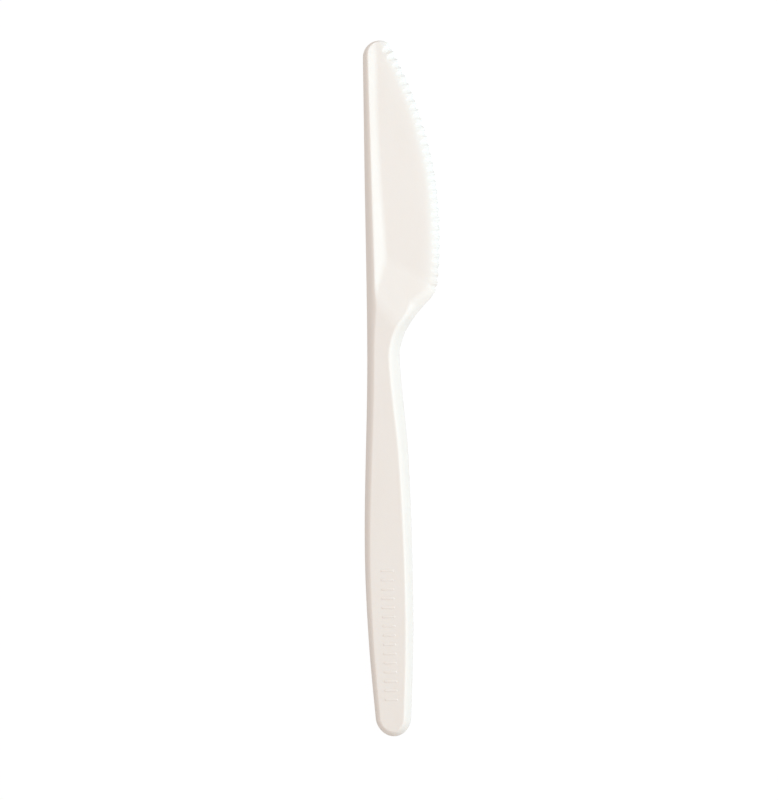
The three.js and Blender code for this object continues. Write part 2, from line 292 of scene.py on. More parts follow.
def rounded_min(a, b, reach):
    """The lower of two heights, with the corner between them rounded over the given reach."""
    reach = np.maximum(reach, np.finfo(float).tiny)
    return np.minimum(a, b) - np.maximum(reach - np.abs(a - b), 0) ** 2 / (4 * reach)


def rounded_max(a, b, reach):
    """The upper of two heights, with the corner between them rounded."""
    return -rounded_min(-a, -b, reach)


def smooth_step(value, start, end):
    """From 0 at the start to 1 at the end, without a kink."""
    share = np.clip((value - start) / (end - start), 0, 1)
    return share * share * (3 - 2 * share)


def arc(share):
    """The height of a quarter circle at a share of its radius."""
    return np.sqrt(np.maximum(1 - share * share, 0))


def curve_through(stations):
    """A smooth curve through stations, each given as (place along the knife, value)."""
    at, values = np.array(stations, float).T
    slopes = np.diff(values) / np.diff(at)
    turns = np.concatenate([slopes[:1], (slopes[:-1] + slopes[1:]) / 2, slopes[-1:]])

    def value(along):
        along = np.clip(along, at[0], at[-1])
        after = np.clip(np.searchsorted(at, along), 1, len(at) - 1)
        before = after - 1
        span = at[after] - at[before]
        t = (along - at[before]) / span
        rise = t * t * (3 - 2 * t)
        leave = t * (1 - t) ** 2 * span * turns[before]
        arrive = t * t * (t - 1) * span * turns[after]
        return values[before] * (1 - rise) + values[after] * rise + leave + arrive

    return value


class KnifeForm:
    """The knife's outline and surfaces as formulas, worked out from the settings."""

    def __init__(self, settings):
        self.heights = settings.heights
        self.blade = settings.blade
        self.handle = settings.handle
        self.channel = settings.channel
        self.bevel = settings.teeth.bevel
        handle, blade, heights = self.handle, self.blade, self.heights

        self.neck_at = handle.length
        self.heel_at = self.neck_at + blade.heel_length
        self.ramp_at = self.heel_at - heights.ramp_before_heel
        self.rib_at = self.heel_at - heights.rib_before_heel
        self.fade_at = self.heel_at - heights.fade_before_heel
        self.belly_at = self.heel_at + blade.belly_from_heel
        self.tip_at = self.heel_at + blade.length
        self.tip_shoulder = self.tip_at - blade.tip_round
        self.draft_slope = 1 / math.tan(heights.draft)
        self.rib_draft_slope = 1 / math.tan(heights.rib_draft)

        self.spine_side = curve_through([
            (0, handle.butt_lean),
            (handle.lower_at, handle.lower_lean),
            (handle.swell_at, handle.swell_lean),
            (self.neck_at, handle.neck_lean),
            (self.heel_at + blade.lean_from_heel, blade.lean),
            (self.tip_at, 0),
        ])
        self.grip_width = curve_through([
            (0, handle.butt_width),
            (handle.lower_at, handle.lower_width),
            (handle.swell_at, handle.swell_width),
            (handle.upper_at, handle.upper_width),
            (self.neck_at, handle.neck_width),
            (self.heel_at, handle.neck_width),
        ])
        self.crest_height = curve_through([
            (0, heights.butt),
            (handle.swell_at, heights.swell),
            (self.neck_at, heights.neck),
            (self.tip_at, heights.tip),
        ])

        self.channel_inset = self.channel.wall - self.channel.overshoot / self.draft_slope
        self.channel_to = self.heel_at - self.channel.before_heel
        self.channel_butt = handle.butt_round - self.channel_inset

    def edge_side(self, along):
        """The cutting edge before the teeth are cut, carried straight on below the heel."""
        reach = np.abs(np.maximum(along, self.heel_at) - self.belly_at)
        share = reach / (self.tip_at - self.belly_at)
        return self.blade.belly_width - self.blade.belly_drop * share ** self.blade.belly_power

    def front_side(self, along):
        """The side away from the spine: the handle, the slanting heel and the cutting edge."""
        blade = self.blade
        grip = self.spine_side(along) + self.grip_width(along)
        run = (along - self.heel_at) * math.tan(blade.heel_angle)
        heel = self.edge_side(self.heel_at) + run
        swept = rounded_max(grip, heel, blade.heel_sweep)
        return rounded_min(swept, self.edge_side(along), blade.heel_corner)

    def outer_sides(self, along):
        """Both sides at one place along the knife, closed by the round butt and the round tip."""
        left = self.spine_side(along)
        right = self.front_side(along)
        butt = self.handle.butt_round
        if along < butt:
            half = (right - left) / 2 * arc(1 - along / butt)
            return (left + right) / 2 - half, (left + right) / 2 + half
        if along > self.tip_shoulder:
            turn = arc((along - self.tip_shoulder) / self.blade.tip_round)
            spine = self.spine_side(self.tip_shoulder)
            middle = (spine + self.front_side(self.tip_shoulder)) / 2
            half = (middle - spine) * turn
            right = rounded_min(right, middle + half, self.blade.tip_corner * turn)
            return middle - half, right
        return left, right

    def channel_sides(self, along):
        """Both sides of the channel, which keeps the wall's thickness to the outline."""
        nudge = 0.01 * MM
        slant = (self.front_side(along + nudge) - self.front_side(along - nudge)) / (2 * nudge)
        left = self.spine_side(along) + self.channel_inset
        right = self.front_side(along) - self.channel_inset * math.hypot(1, slant)
        butt = max(1 - (along - self.channel_inset) / self.channel_butt, 0)
        end = max(1 - (self.channel_to - along) / self.channel.end_round, 0)
        half = (right - left) / 2 * arc(butt) * arc(end)
        return (left + right) / 2 - half, (left + right) / 2 + half

    def face_height(self, across, along):
        """The handle's face and the ramp that it runs down by."""
        heights = self.heights
        aside = (across - heights.ramp_across) * math.sin(heights.ramp_angle)
        down = aside + (along - self.ramp_at) * math.cos(heights.ramp_angle)
        ramp = self.crest_height(self.ramp_at) - heights.ramp_slope * down
        return rounded_min(self.crest_height(along), ramp, heights.ramp_round)

    def floor_height(self, across, along):
        """The floor of the blade, and the handle's face above it."""
        heights = self.heights
        inward = self.edge_side(along) - self.bevel - across
        web = heights.web + heights.web_slope * inward
        return rounded_max(self.face_height(across, along), web, heights.ramp_foot)

    def rib_height(self, across, along):
        """The flank of the rib along the spine, falling away from the crest of the wall. It comes
        out of the handle's face before the heel."""
        heights = self.heights
        crest = self.crest_height(along)
        top = self.spine_side(along) + (crest - heights.edge) / self.spine_slope(along)
        risen = smooth_step(along, self.rib_at, self.rib_at + heights.rib_rise_length)
        lift = heights.rib_lift - (heights.rib_lift + heights.rib_foot) * (1 - risen)
        return crest + lift - heights.rib_slope * (across - top)

    def front_height(self, across, along):
        """The whole front without its side walls."""
        floor = self.floor_height(across, along)
        return rounded_max(floor, self.rib_height(across, along), self.heights.rib_foot)

    def blade_share(self, along, start, end):
        """From 0 on the handle, up to 1 between two places, and back to 0 round the tip."""
        before_tip = 1 - smooth_step(along, self.tip_shoulder, self.tip_at)
        return smooth_step(along, start, end) * before_tip

    def spine_slope(self, along):
        """How steeply the spine's wall climbs: it leans in further beside the rib."""
        share = self.blade_share(along, self.neck_at, self.heel_at)
        return self.draft_slope * (1 - share) + self.rib_draft_slope * share

    def wall_slope(self, along, on_spine):
        """How steeply the side wall climbs: drafted round the handle, the spine and the tip, and
        turning into the bevel of the cutting edge round the heel."""
        heights = self.heights
        top = self.front_height(self.front_side(along) - self.bevel, along)
        bevel_slope = (top - heights.edge) / self.bevel
        share = self.blade_share(along, self.fade_at, self.fade_at + heights.fade_length)
        front_slope = self.draft_slope * (1 - share) + bevel_slope * share
        return np.where(on_spine, self.spine_slope(along), front_slope)

    def outer_height(self, across, along, wall):
        """The front with its side walls, rounded where they meet."""
        distance, foot_along, on_spine = wall
        edge = self.heights.edge
        climb = edge + self.wall_slope(foot_along, on_spine) * distance
        front = self.front_height(across, along)
        return rounded_min(front, climb, self.heights.crest_round * (front - edge))

    def channel_height(self, across, along, wall):
        """The channel's roof and walls: the handle's face keeps its thickness above it."""
        roof = self.face_height(across, along) - self.channel.face
        climb = self.draft_slope * wall[0] - self.channel.overshoot
        return rounded_min(roof, climb, self.channel.roof_round * self.draft_slope)


def places(start, end, step):
    """Places from one point to another, no further apart than the given step."""
    return np.linspace(start, end, math.ceil((end - start) / step), endpoint=False)


def round_places(end, depth, rows):
    """Places round a rounded end, close together where it turns. The first is the end itself."""
    turn = np.arange(rows) / rows * math.pi / 2
    return end + depth * (1 - np.cos(turn))


def plan_rows(sides_at, places_along, first_middle, last_middle):
    """One row of the plan for each place: two outline points and the middle that they face."""
    rows = []
    for along in places_along:
        left, right = sides_at(along)
        middle_along = min(max(along, first_middle), last_middle)
        middle_left, middle_right = sides_at(middle_along)
        middle = ((middle_left + middle_right) / 2, middle_along)
        rows.append(np.array([(left, along), (right, along), middle]))
    return rows


def nearest_wall(rows, points, chunk=2000):
    """For each point: how far the outline is, how far along its nearest point is, and whether
    that point is on the spine's side."""
    outline = np.array(rows)
    starts = np.concatenate([outline[:-1, 0], outline[:-1, 1]])
    runs = np.concatenate([outline[1:, 0], outline[1:, 1]]) - starts
    lengths = np.maximum((runs ** 2).sum(1), np.finfo(float).tiny)
    found = []
    for first in range(0, len(points), chunk):
        offset = points[first:first + chunk, None] - starts
        share = np.clip((offset * runs).sum(2) / lengths, 0, 1)
        away = np.linalg.norm(offset - share[..., None] * runs, axis=2)
        nearest = away.argmin(1)
        pick = np.arange(len(nearest))
        foot = starts[nearest, 1] + share[pick, nearest] * runs[nearest, 1]
        found.append((away[pick, nearest], foot, nearest < len(rows) - 1))
    return [np.concatenate(part) for part in zip(*found)]


def moulded_mesh(name, rows, floor, land, height_at, insets_at, weld):
    """A closed mesh over a plan: a flat underside, an upright land round it, and a front whose
    height is worked out at each point. Insets are distances in from the outline."""
    plan = []
    for left, right, middle in rows:
        halves = []
        for on_spine, start in ((True, left), (False, right)):
            width = np.linalg.norm(middle - start)
            insets = insets_at(start, middle, width, on_spine)
            share = np.minimum(np.array(insets) / max(width, weld), 1)
            halves.append(start + share[:, None] * (middle - start))
        plan.append(np.concatenate([
            [left, left], halves[0], [middle], halves[1][::-1], [right, right]
        ]))
    plan = np.array(plan)
    rings, columns = plan.shape[:2]
    points = plan.reshape(-1, 2)
    height = height_at(points[:, 0], points[:, 1], nearest_wall(rows, points))
    height = height.reshape(rings, columns)
    height[:, [0, -1]] = floor
    height[:, [1, -2]] = land
    corners = np.column_stack([points, height.ravel()])

    index = np.arange(rings * columns).reshape(rings, columns)
    here = index[:-1]
    beside = np.roll(index, -1, axis=1)[:-1]
    ahead = index[1:]
    beyond = np.roll(index, -1, axis=1)[1:]
    triangles = np.concatenate([
        np.stack([here, beside, ahead], axis=2).reshape(-1, 3),
        np.stack([beside, beyond, ahead], axis=2).reshape(-1, 3),
    ])
    _, first, welded = np.unique(
        np.round(corners / weld).astype(np.int64), axis=0, return_index=True, return_inverse=True
    )
    triangles = welded.reshape(-1)[triangles]
    a, b, c = triangles.T
    triangles = triangles[(a != b) & (b != c) & (c != a)]
    mesh = bpy.data.meshes.new(name)
    mesh.from_pydata(corners[first], [], triangles)
    mesh.update()
    return mesh


def crest_inset(form, start, middle, width, on_spine):
    """How far in from the outline the side wall meets the front, found by closing in on it."""
    rounds = 6
    slope = form.wall_slope(start[1], on_spine)
    inset = 0.0
    for _ in range(rounds):
        across, along = start + (middle - start) * inset / width
        climb = (form.front_height(across, along) - form.heights.edge) / slope
        inset = min(float(climb), width / 2)
    return inset


def foot_inset(form, start, middle, width):
    """How far in from the outline the rib's flank runs out on the floor, if it does."""
    tries = 200
    share = np.linspace(0, 1, tries)
    across, along = (start + share[:, None] * (middle - start)).T
    above = form.rib_height(across, along) > form.floor_height(across, along)
    return width * share[above].max() if above.any() else 0.0


def outer_insets(form, steps, start, middle, width, on_spine):
    """Columns that gather at the crest of the wall and at the foot of the rib, which is kept to
    the middle part of the way in from the crest."""
    foot_from = 0.3
    foot_to = 0.7
    widest_reach = 0.25
    crest = crest_inset(form, start, middle, width, on_spine)
    spread = form.heights.crest_round * crest
    top = crest + spread
    rest = width - top
    foot = (foot_inset(form, start, middle, width) - top) / rest
    foot = min(max(foot, foot_from), foot_to) * rest + top
    reach = min(form.heights.rib_foot / form.heights.rib_slope, widest_reach * rest)
    return np.concatenate([
        np.linspace(0, crest - spread, steps.wall + 1, endpoint=False)[1:],
        np.linspace(crest - spread, top, steps.crest, endpoint=False),
        np.linspace(top, foot - reach, steps.floor, endpoint=False),
        np.linspace(foot - reach, foot + reach, steps.foot, endpoint=False),
        np.linspace(foot + reach, width, steps.floor, endpoint=False),
    ])


def outer_mesh(form, steps):
    """The knife before its back is hollowed and its teeth are cut."""
    butt = form.handle.butt_round
    tip = form.blade.tip_round
    places_along = np.concatenate([
        round_places(0, butt, steps.end_rows),
        places(butt, form.neck_at, steps.handle),
        places(form.neck_at, form.belly_at, steps.heel),
        places(form.belly_at, form.tip_shoulder, steps.blade),
        round_places(form.tip_at, -tip, steps.end_rows)[::-1],
    ])
    rows = plan_rows(form.outer_sides, places_along, butt, form.tip_shoulder)
    return moulded_mesh(
        "outer",
        rows,
        0.0,
        form.heights.edge,
        form.outer_height,
        lambda *place: outer_insets(form, steps, *place),
        steps.weld,
    )


def channel_insets(form, steps, middle, width):
    """Columns that gather where the channel's wall meets its roof."""
    widest_wall = 0.8
    widest_round = 0.1
    channel = form.channel
    roof = form.face_height(*middle) - channel.face + channel.overshoot
    crest = min(float(roof) / form.draft_slope, widest_wall * width)
    top = crest + min(channel.roof_round, widest_round * width)
    return np.concatenate([
        np.linspace(0, crest - channel.roof_round, steps.wall, endpoint=False)[1:],
        np.linspace(crest - channel.roof_round, top, steps.wall, endpoint=False),
        np.linspace(top, width, steps.floor, endpoint=False),
    ])


def channel_mesh(form, steps):
    """What the channel takes out of the back of the handle."""
    channel = form.channel
    land = -channel.overshoot
    first = form.channel_inset + form.channel_butt
    last = form.channel_to - channel.end_round
    places_along = np.concatenate([
        round_places(form.channel_inset, form.channel_butt, steps.end_rows),
        places(first, last, steps.channel),
        round_places(form.channel_to, -channel.end_round, steps.end_rows)[::-1],
    ])
    rows = plan_rows(form.channel_sides, places_along, first, last)
    return moulded_mesh(
        "channel",
        rows,
        2 * land,
        land,
        form.channel_height,
        lambda start, middle, width, on_spine: channel_insets(form, steps, middle, width),
        steps.weld,
    )


def edge_line(form, teeth):
    """Points along the cutting edge, from the first tooth to the last, and how steeply the flute
    that starts at each point climbs."""
    step = 0.5 * MM
    along = places(form.heel_at + teeth.from_heel, form.tip_at - teeth.from_tip, step)
    edge = np.array([(form.outer_sides(place)[1], place) for place in along])
    tangent = np.gradient(edge, axis=0)
    tangent /= np.linalg.norm(tangent, axis=1)[:, None]
    inner = edge + teeth.bevel * np.column_stack([-tangent[:, 1], tangent[:, 0]])
    top = form.front_height(inner[:, 0], inner[:, 1])
    climbs = np.arctan2(top + teeth.notch, teeth.bevel)
    return np.column_stack([edge, np.full(len(edge), -teeth.notch)]), climbs


def grip_line(form, bars):
    """Points along the middle of the handle's face."""
    step = 1 * MM
    along = places(bars.start, bars.end, step)
    left, right = np.array([form.outer_sides(place) for place in along]).T
    across = (left + right) / 2
    return np.column_stack([across, along, form.face_height(across, along)])


def line_object(name, points, climbs=()):
    """A line through the points, which may carry how steeply something climbs at each."""
    mesh = bpy.data.meshes.new(name)
    mesh.from_pydata(points, [(at, at + 1) for at in range(len(points) - 1)], [])
    if len(climbs):
        mesh.attributes.new("climb", "FLOAT", "POINT").data.foreach_set("value", climbs)
    return put_in_scene(name, mesh)


class Wires:
    """A node tree while its nodes are added and linked."""

    def __init__(self, tree, output):
        self.tree = tree
        self.result = self.add(output).inputs

    def link(self, value, socket):
        """Sets a socket: to another socket's output, or to a plain value."""
        if isinstance(value, bpy.types.NodeSocket):
            self.tree.links.new(value, socket)
        else:
            socket.default_value = value

    def add(self, kind, inputs=None, **settings):
        """Adds a node, with its settings and with its inputs by name or by place."""
        node = self.tree.nodes.new(kind)
        for setting, value in settings.items():
            setattr(node, setting, value)
        for name, value in (inputs or {}).items():
            self.link(value, node.inputs[name])
        return node

    def math(self, operation, *values):
        """A number worked out from one or more others."""
        node = self.add("ShaderNodeMath", dict(enumerate(values)), operation=operation)
        return node.outputs["Value"]

    def vector(self, operation, *values, **named):
        """A vector worked out from one or more others."""
        inputs = {**dict(enumerate(values)), **named}
        return self.add("ShaderNodeVectorMath", inputs, operation=operation).outputs["Vector"]

    def noise(self, place, scale, detail, roughness=0.5):
        """Noise over a place: in so many octaves, each weaker than the last by the roughness."""
        inputs = {"Vector": place, "Scale": scale, "Detail": detail, "Roughness": roughness}
        return self.add("ShaderNodeTexNoise", inputs).outputs["Fac"]

    def mixed_colour(self, share, first, second):
        """A colour between two others, which are sockets or plain colours."""
        node = self.add("ShaderNodeMix", data_type="RGBA")
        colours = [socket for socket in node.inputs if socket.type == "RGBA"]
        for socket, value in zip(colours, (first, second)):
            is_socket = isinstance(value, bpy.types.NodeSocket)
            self.link(value if is_socket else (*value, 1), socket)
        self.link(share, node.inputs[0])
        return next(socket for socket in node.outputs if socket.type == "RGBA")


class GroupWires(Wires):
    """A new node group, with its inputs and outputs given by name and type."""

    def __init__(self, name, kind, inputs, outputs):
        tree = bpy.data.node_groups.new(name, kind)
        for direction, sockets in (("INPUT", inputs), ("OUTPUT", outputs)):
            for label, socket_type in sockets:
                tree.interface.new_socket(name=label, in_out=direction, socket_type=socket_type)
        super().__init__(tree, "NodeGroupOutput")
        self.given = self.add("NodeGroupInput").outputs


class ShaderWires(Wires):
    """A material's or a world's own nodes, in place of those that it starts with."""

    def __init__(self, owner, output):
        owner.use_nodes = True
        owner.node_tree.nodes.clear()
        super().__init__(owner.node_tree, output)


def given_curve(wires, name):
    """The curve of the line object that a geometry tree is given by this name."""
    line = wires.add("GeometryNodeObjectInfo", {"Object": wires.given[name]})
    return wires.add("GeometryNodeMeshToCurve", {"Mesh": line.outputs["Geometry"]}).outputs[0]


def copies(wires, points, shape, turn):
    """A turned copy of a shape at each point."""
    inputs = {"Points": points.outputs["Points"], "Instance": shape, "Rotation": turn.outputs[0]}
    return wires.add("GeometryNodeInstanceOnPoints", inputs).outputs["Instances"]


def teeth_tree():
    """Cuts a round flute for each tooth, square to the edge line, and climbing as the line says."""
    wires = GroupWires(
        "cut_teeth",
        "GeometryNodeTree",
        [
            ("Geometry", "NodeSocketGeometry"),
            ("Edge line", "NodeSocketObject"),
            ("Pitch", "NodeSocketFloat"),
            ("Depth", "NodeSocketFloat"),
            ("Reach", "NodeSocketFloat"),
            ("Sides", "NodeSocketInt"),
            ("Plastic", "NodeSocketMaterial"),
        ],
        [("Geometry", "NodeSocketGeometry")],
    )
    given = wires.given
    curve = given_curve(wires, "Edge line")
    run = wires.add("GeometryNodeCurveLength", {"Curve": curve}).outputs["Length"]
    gaps = wires.math("FLOOR", wires.math("DIVIDE", run, given["Pitch"]))
    points = wires.add(
        "GeometryNodeCurveToPoints", {"Curve": curve, "Count": wires.math("ADD", gaps, 1.0)}
    )
    climb = wires.add("GeometryNodeInputNamedAttribute", {"Name": "climb"}).outputs["Attribute"]
    tangent = points.outputs["Tangent"]
    inward = wires.vector("CROSS_PRODUCT", (0, 0, 1), tangent)
    level = wires.vector("SCALE", inward, Scale=wires.math("COSINE", climb))
    upright = wires.vector("SCALE", (0, 0, 1), Scale=wires.math("SINE", climb))
    turn = wires.add(
        "FunctionNodeAxesToRotation",
        {"Primary Axis": wires.vector("ADD", level, upright), "Secondary Axis": tangent},
        primary_axis="Z",
        secondary_axis="X",
    )
    half = wires.math("DIVIDE", given["Pitch"], 2.0)
    depth = given["Depth"]
    half_squared = wires.math("MULTIPLY", half, half)
    depth_squared = wires.math("MULTIPLY", depth, depth)
    squares = wires.math("ADD", half_squared, depth_squared)
    radius = wires.math("DIVIDE", squares, wires.math("MULTIPLY", depth, 2.0))
    cutter = wires.add(
        "GeometryNodeMeshCylinder",
        {"Vertices": given["Sides"], "Radius": radius, "Depth": given["Reach"]},
    )
    below = wires.add("ShaderNodeCombineXYZ", {"Y": wires.math("MULTIPLY", radius, -1.0)})
    placed = wires.add(
        "GeometryNodeTransform", {"Geometry": cutter.outputs["Mesh"], "Translation": below.outputs[0]}
    )
    cutters = copies(wires, points, placed.outputs["Geometry"], turn)
    cut = wires.add(
        "GeometryNodeMeshBoolean",
        {"Mesh 1": given["Geometry"], "Mesh 2": cutters},
        operation="DIFFERENCE",
        solver="MANIFOLD",
    )
    finish_tree(wires, cut.outputs["Mesh"])
    return wires.tree


def grip_bar_tree():
    """Raises a row of round bars out of the handle's face, each square to the line it is on."""
    wires = GroupWires(
        "raise_grip_bars",
        "GeometryNodeTree",
        [
            ("Geometry", "NodeSocketGeometry"),
            ("Grip line", "NodeSocketObject"),
            ("Pitch", "NodeSocketFloat"),
            ("Length", "NodeSocketFloat"),
            ("Width", "NodeSocketFloat"),
            ("Relief", "NodeSocketFloat"),
            ("Plastic", "NodeSocketMaterial"),
        ],
        [("Geometry", "NodeSocketGeometry")],
    )
    given = wires.given
    curve = given_curve(wires, "Grip line")
    points = wires.add(
        "GeometryNodeCurveToPoints", {"Curve": curve, "Length": given["Pitch"]}, mode="LENGTH"
    )
    tangent = points.outputs["Tangent"]
    outward = wires.vector("CROSS_PRODUCT", (1, 0, 0), tangent)
    turn = wires.add(
        "FunctionNodeAxesToRotation",
        {"Primary Axis": outward, "Secondary Axis": tangent},
        primary_axis="Z",
        secondary_axis="Y",
    )
    radius = wires.math("DIVIDE", given["Width"], 2.0)
    reach = wires.math("DIVIDE", wires.math("SUBTRACT", given["Length"], given["Width"]), 2.0)
    rise = wires.math("SUBTRACT", given["Relief"], radius)
    ball = wires.add(
        "GeometryNodeMeshUVSphere", {"Segments": 24, "Rings": 16, "Radius": radius}
    ).outputs["Mesh"]
    ends = wires.add("GeometryNodeJoinGeometry")
    for side in (reach, wires.math("MULTIPLY", reach, -1.0)):
        place = wires.add("ShaderNodeCombineXYZ", {"X": side, "Z": rise}).outputs[0]
        end = wires.add("GeometryNodeTransform", {"Geometry": ball, "Translation": place})
        wires.link(end.outputs["Geometry"], ends.inputs["Geometry"])
    bar = wires.add("GeometryNodeConvexHull", {"Geometry": ends.outputs["Geometry"]})
    bars = copies(wires, points, bar.outputs["Convex Hull"], turn)
    raised = wires.add(
        "GeometryNodeMeshBoolean",
        {"Mesh 2": given["Geometry"]},
        operation="UNION",
        solver="MANIFOLD",
    )
    wires.link(bars, raised.inputs["Mesh 2"])
    finish_tree(wires, raised.outputs["Mesh"])
    return wires.tree


def finish_tree(wires, geometry):
    """Ends a geometry tree: nothing stays an instance, and everything is of the plastic."""
    real = wires.add("GeometryNodeRealizeInstances", {"Geometry": geometry})
    coated = wires.add(
        "GeometryNodeSetMaterial",
        {"Geometry": real.outputs["Geometry"], "Material": wires.given["Plastic"]},
    )
    wires.link(coated.outputs["Geometry"], wires.result["Geometry"])


def put_in_scene(name, mesh):
    """An object with the mesh, at the origin."""
    made = bpy.data.objects.new(name, mesh)
    bpy.context.scene.collection.objects.link(made)
    return made


def settle(piece, *helpers):
    """Turns what the modifiers make of a piece into its own plain mesh, and clears them away."""
    bpy.context.view_layer.update()
    evaluated = piece.evaluated_get(bpy.context.evaluated_depsgraph_get())
    mesh = bpy.data.meshes.new_from_object(evaluated)
    if not mesh.polygons:
        raise RuntimeError(f"{piece.name} has come out empty")
    piece.modifiers.clear()
    before = piece.data
    piece.data = mesh
    bpy.data.meshes.remove(before)
    for helper in helpers:
        bpy.data.objects.remove(helper)


def run_tree(piece, tree, values, *helpers):
    """Runs a geometry tree on a piece, with its inputs given by name."""
    modifier = piece.modifiers.new(tree.name, "NODES")
    modifier.node_group = tree
    for socket in tree.interface.items_tree:
        if socket.in_out == "INPUT" and socket.name in values:
            modifier[socket.identifier] = values[socket.name]
    settle(piece, *helpers)


def knife_piece():
    """The knife, which the first operator makes."""
    piece = bpy.data.objects.get(PIECE)
    if piece is None:
        raise RuntimeError("mould the knife first")
    return piece


def move_to_frame(mesh, corners):
    """Moves a mesh from the knife's own measures to its node's place in the frame: with its box
    in the middle of the node's box, and its flat back in the same plane."""
    low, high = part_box(NODE)
    middle = Vector((corners.min(0) + corners.max(0)) / 2)
    move = (low + high) / 2 - middle
    move.z = low.z - corners[:, 2].min()
    mesh.transform(Matrix.Translation(move))


def cloud_group():
    """Faint clouds, drawn out along the flow of the plastic."""
    wires = GroupWires(
        "flow_clouds",
        "ShaderNodeTree",
        [("Vector", "NodeSocketVector"), ("Size", "NodeSocketFloat"), ("Stretch", "NodeSocketFloat")],
        [("Mask", "NodeSocketFloat")],
    )
    given = wires.given
    long = wires.math("MULTIPLY", given["Size"], given["Stretch"])
    size = wires.add("ShaderNodeCombineXYZ", {"X": given["Size"], "Y": long, "Z": given["Size"]})
    place = wires.vector("DIVIDE", given["Vector"], size.outputs[0])
    clouds = wires.noise(place, scale=1.0, detail=4.0, roughness=0.55)
    wires.link(clouds, wires.result["Mask"])
    return wires.tree


def grain_group():
    """A fine satin grain: its height, and a mask of where it is a little rougher."""
    coarser = 14.0
    wires = GroupWires(
        "satin_grain",
        "ShaderNodeTree",
        [("Vector", "NodeSocketVector"), ("Size", "NodeSocketFloat")],
        [("Height", "NodeSocketFloat"), ("Rough", "NodeSocketFloat")],
    )
    place = wires.given["Vector"]
    scale = wires.math("DIVIDE", 1.0, wires.given["Size"])
    broad_scale = wires.math("DIVIDE", scale, coarser)
    wires.link(wires.noise(place, scale, detail=3.0, roughness=0.6), wires.result["Height"])
    wires.link(wires.noise(place, broad_scale, detail=2.0), wires.result["Rough"])
    return wires.tree


def plastic_material(plastic):
    """Off-white plastic: satin, faintly clouded, and paler where light comes through its edge."""
    cloud_from = 0.35
    rough_from = 0.3
    noise_to = 0.7
    material = bpy.data.materials.new("off_white_plastic")
    wires = ShaderWires(material, "ShaderNodeOutputMaterial")
    place = wires.add("ShaderNodeTexCoord").outputs["Object"]
    clouds = wires.add(
        "ShaderNodeGroup",
        {"Vector": place, "Size": plastic.cloud_size, "Stretch": plastic.cloud_stretch},
        node_tree=cloud_group(),
    )
    grain = wires.add(
        "ShaderNodeGroup", {"Vector": place, "Size": plastic.grain_size}, node_tree=grain_group()
    )

    cloudy = wires.add(
        "ShaderNodeMapRange",
        {
            "Value": clouds.outputs["Mask"],
            "From Min": cloud_from,
            "From Max": noise_to,
            "To Max": plastic.clouding,
        },
    )
    tinted = wires.mixed_colour(cloudy.outputs["Result"], plastic.body, plastic.cloud)
    thin = wires.add("ShaderNodeAttribute", attribute_name="thin").outputs["Fac"]
    paler = wires.mixed_colour(thin, tinted, plastic.thin)

    roughness = wires.add(
        "ShaderNodeMapRange",
        {
            "Value": grain.outputs["Rough"],
            "From Min": rough_from,
            "From Max": noise_to,
            "To Min": plastic.roughness - plastic.unevenness,
            "To Max": plastic.roughness + plastic.unevenness,
        },
    )
    bump = wires.add(
        "ShaderNodeBump", {"Height": grain.outputs["Height"], "Distance": plastic.grain, "Strength": 1.0}
    )
    shader = wires.add(
        "ShaderNodeBsdfPrincipled",
        {
            "Base Color": paler,
            "Roughness": roughness.outputs["Result"],
            "Normal": bump.outputs["Normal"],
            "IOR": plastic.ior,
            "Subsurface Weight": plastic.subsurface,
            "Subsurface Radius": plastic.depth_by_colour,
            "Subsurface Scale": plastic.depth,
        },
    )
    wires.link(shader.outputs["BSDF"], wires.result["Surface"])
    return material


def table_material(stage):
    """The white table: white to the camera, with part of the knife's shadow."""
    material = bpy.data.materials.new("white_table")
    wires = ShaderWires(material, "ShaderNodeOutputMaterial")
    seen = wires.add("ShaderNodeLightPath").outputs["Is Camera Ray"]
    shown = stage.table * stage.shadow
    white = wires.add(
        "ShaderNodeMapRange", {"Value": seen, "To Min": stage.table, "To Max": shown}
    ).outputs["Result"]
    spread = wires.add("ShaderNodeBsdfDiffuse", {"Color": white})
    level = 1 + stage.white_margin - shown
    glow = wires.add("ShaderNodeEmission", {"Strength": wires.math("MULTIPLY", seen, level)})
    both = wires.add("ShaderNodeAddShader", {0: spread.outputs[0], 1: glow.outputs[0]})
    wires.link(both.outputs[0], wires.result["Surface"])
    return material


def white_world(stage):
    """Even light from all round, which the camera sees as white."""
    world = bpy.data.worlds.new("white_room")
    wires = ShaderWires(world, "ShaderNodeOutputWorld")
    ray = wires.add("ShaderNodeLightPath").outputs
    seen = wires.math("MAXIMUM", ray["Is Camera Ray"], ray["Is Transmission Ray"])
    level = [share * stage.ambient for share in stage.ambient_colour]
    shade = wires.mixed_colour(seen, level, (1, 1, 1))
    room = wires.add("ShaderNodeBackground", {"Color": shade})
    wires.link(room.outputs["Background"], wires.result["Surface"])
    return world


def soft_light(name, stage):
    """A square soft light that faces the knife's middle. Its settings start with its name."""
    turn = getattr(stage, f"{name}_turn")
    height = getattr(stage, f"{name}_height")
    lamp = bpy.data.lights.new(name, "AREA")
    lamp.size = stage.light_size
    lamp.energy = getattr(stage, f"{name}_power")
    lamp.color = getattr(stage, f"{name}_colour")
    made = bpy.data.objects.new(name, lamp)
    level = Vector((math.cos(turn), math.sin(turn), math.tan(height))).normalized()
    made.location = level * stage.light_distance
    made.rotation_euler = level.to_track_quat("Z", "Y").to_euler()
    bpy.context.scene.collection.objects.link(made)


